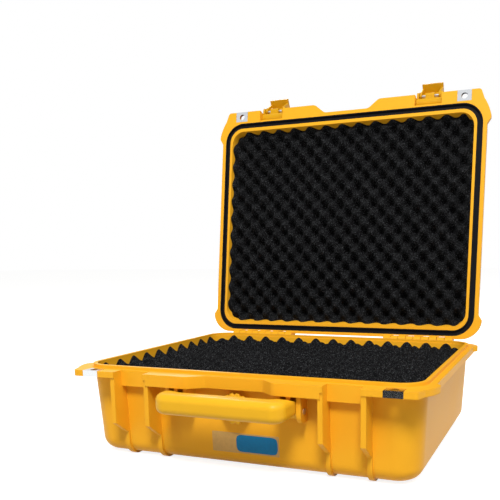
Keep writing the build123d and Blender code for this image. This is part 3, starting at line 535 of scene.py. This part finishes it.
def egg_crate(x, y, half_x, half_y, waves, power, edge, sink):
    """Height from 0 in the valleys to 1 on the crests. One plus the product of a cosine
    across and one along, halved and raised to a power, puts them on a net like a
    chessboard's fields. At the walls, where the foam is squeezed in, the valleys are
    shallower by the edge's share, and away from them the crests are lower by the sink."""
    across = np.cos(math.pi * waves[0] * (x + half_x) / half_x)
    along = np.cos(math.pi * waves[1] * (y + half_y) / half_y)
    wave = (0.5 + 0.5 * across * along) ** power
    inside = np.minimum(half_x - np.abs(x), half_y - np.abs(y)) / SQUEEZE_WIDTH
    squeeze = (1 - np.clip(inside, 0, 1)) ** 2
    return 1 - (1 - wave) * (1 - edge * squeeze) - sink * (1 - squeeze) * wave


def foam_block(name, levels, grid, crate=None, depth=0.0, place=on_base):
    """Closed block: a top grid, waved to a depth where it has a crate, side rings down
    through the levels (each a height, two half sizes and a corner radius), and a flat
    bottom grid on the last ring. The attribute crest keeps the height of the waves."""
    z_top, half_x, half_y, radius = levels[0]
    x, y = rounded_rectangle_grid(half_x, half_y, radius, *grid)
    height = np.ones_like(x) if crate is None else egg_crate(x, y, half_x, half_y, **crate)
    points = [np.stack([x, y, z_top - depth * (1 - height)], -1).reshape(-1, 3)]
    top = np.arange(x.size).reshape(x.shape)
    edge = np.concatenate([top[0, :-1], top[:-1, -1], top[-1, :0:-1], top[:0:-1, 0]])
    inner = top[1:-1, 1:-1].ravel()
    rings = [edge]
    count = top.size
    for z, hx, hy, r in levels[1:]:
        x, y = rounded_rectangle_grid(hx, hy, r, *grid)
        level = np.stack([x, y, np.full_like(x, z)], -1).reshape(-1, 3)
        points.append(level[edge])
        rings.append(count + np.arange(len(edge)))
        count += len(edge)
    points.append(level[inner])
    bottom = np.zeros(top.size, int)
    bottom[edge] = rings[-1]
    bottom[inner] = count + np.arange(len(inner))
    faces = [grid_faces(top)]
    for upper, lower in zip(rings[:-1], rings[1:]):
        faces.append(np.stack([upper, lower, np.roll(lower, -1), np.roll(upper, -1)], -1))
    # Rows and columns change places, because the bottom looks the other way.
    faces.append(grid_faces(bottom.reshape(top.shape).T))
    faces = np.concatenate(faces).tolist()
    piece = new_piece(name, place(np.concatenate(points)), faces, foam_black)
    mesh = piece.data
    mesh.shade_smooth()
    mesh.set_sharp_from_angle(angle=math.radians(50))
    crest = np.full(len(mesh.vertices), 0.5)
    crest[:height.size] = height.ravel()
    mesh.attributes.new("crest", "FLOAT", "POINT").data.foreach_set("value", crest)
    return piece


def base_level(z, inset=FOAM_GAP):
    """Height, half sizes and corner of the base cavity less an inset: each half size
    shrinks by the depth below the rim times the slope of the wall."""
    draft = (BASE_RIM - z) * WALL_SLOPE + inset
    return z, BASE_HALF_X - draft, BASE_HALF_Y - draft, BASE_CORNER


def lid_level(z, inset=FOAM_GAP):
    """Height, half sizes and corner of the lid cavity less an inset: each half size loses
    its lean evenly from the face to the ceiling."""
    part = (z - LID_FACE) / (LID_CEILING - LID_FACE)
    half_x = LID_HALF_X - part * LID_LEAN_X - inset
    half_y = LID_HALF_Y - part * LID_LEAN_Y - inset
    return z, half_x, half_y, LID_CORNER


# Levels run from the layer's top, or in the lid from its face, to the far side. An inset
# beyond the gap rounds a cut edge, or follows the shell's fillet between wall and panel.
base_crate = foam_block(
    "base_egg_crate",
    [base_level(BASE_CREST), base_level(0.072), base_level(0.0626)],
    CRATE_GRID, dict(waves=(14, 11), power=0.7, edge=0.25, sink=0.20), CRATE_DEPTH,
)
base_middle = foam_block(
    "base_foam_middle",
    [base_level(0.0616, 0.0030), base_level(0.0606), base_level(0.0180),
     base_level(0.0170, 0.0030)],
    FLAT_GRID,
)
base_bottom = foam_block(
    "base_foam_bottom",
    [base_level(0.0160, 0.0030), base_level(0.0150, 0.0018), base_level(0.0100, 0.0040),
     base_level(0.0062, 0.0074), base_level(0.0042, 0.0131)],
    FLAT_GRID,
)
lid_crate = foam_block(
    "lid_egg_crate",
    [lid_level(LID_CREST), lid_level(0.1340), lid_level(0.1390, 0.0010),
     lid_level(0.1418, 0.0028), lid_level(LID_CEILING - 0.0005, 0.0064)],
    CRATE_GRID, dict(waves=(14.5, 11), power=1.0, edge=0.62, sink=0.0), -CRATE_DEPTH,
    place=on_lid,
)
lid_crate.data.flip_normals()
for piece, body, node in (
    (base_crate, "base", "base_foam_top"), (base_middle, "base", "base_foam_block"),
    (base_bottom, "base", "base_foam_pad"), (lid_crate, "lid", "lid_foam"),
):
    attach(piece, body)
    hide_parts(node)

# Labels
# Coated vinyl sheets stuck on the front wall and on the lid: a tan one with a rounded blue
# field of ink over its right two thirds, and a green one.
WALL_OUT = 0.16275
WALL_TOP = 0.1025
FIELD_MIDDLE_X, FIELD_MIDDLE_Z = 0.0205, 0.0270
FIELD_WIDTH, FIELD_HEIGHT = 0.0520, 0.0212
FIELD_CORNER = 0.0080
FIELD_GRID = (24, 14)
INK_LIFT = 0.0004
INK_RIM_LIFT = 0.0002


def label_vinyl(name, color, roughness):
    """Coated sheet: faint mottling in the ink and in the gloss of the coating."""
    material, tree, sheet = new_finish(name)
    mottle = object_noise(tree, detail=5, scale=260).outputs["Fac"]
    dark, light = ([channel * gain for channel in color] for gain in (0.86, 1.14))
    ink = color_between(tree, mottle, dark, light)
    gloss = value_between(tree, mottle, least=roughness, span=0.15)
    tree.links.new(ink, sheet.inputs["Base Color"])
    tree.links.new(gloss, sheet.inputs["Roughness"])
    sheet.inputs["Specular IOR Level"].default_value = 0.18
    return material


label_tan = label_vinyl("label_tan", color=(0.60, 0.365, 0.11), roughness=0.40)
label_green = label_vinyl("label_green", color=(0.004, 0.125, 0.062), roughness=0.35)
label_blue = label_vinyl("label_blue", color=(0.003, 0.165, 0.36), roughness=0.35)
give_finish(("front_label",), label_tan)
give_finish(("lid_label",), label_green)


def ink_field(name, material):
    """Thin rounded field on the drafted front wall: a rounded rectangle grid whose depth
    falls with the wall's slope, and whose rim turns down onto the label."""
    half_x, half_z = FIELD_WIDTH / 2, FIELD_HEIGHT / 2
    x, z = rounded_rectangle_grid(half_x, half_z, FIELD_CORNER, *FIELD_GRID)
    x, z = FIELD_MIDDLE_X + x, FIELD_MIDDLE_Z + z
    lift = np.full_like(x, INK_LIFT)
    lift[[0, -1], :] = lift[:, [0, -1]] = INK_RIM_LIFT
    y = -(WALL_OUT - (WALL_TOP - z) * WALL_SLOPE) - lift
    points = np.stack([x, y, z], -1).reshape(-1, 3)
    faces = grid_faces(np.arange(x.size).reshape(x.shape)).tolist()
    return new_piece(name, on_base(points), faces, material)


field = ink_field("front_label_field", label_blue)
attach(field, "base")
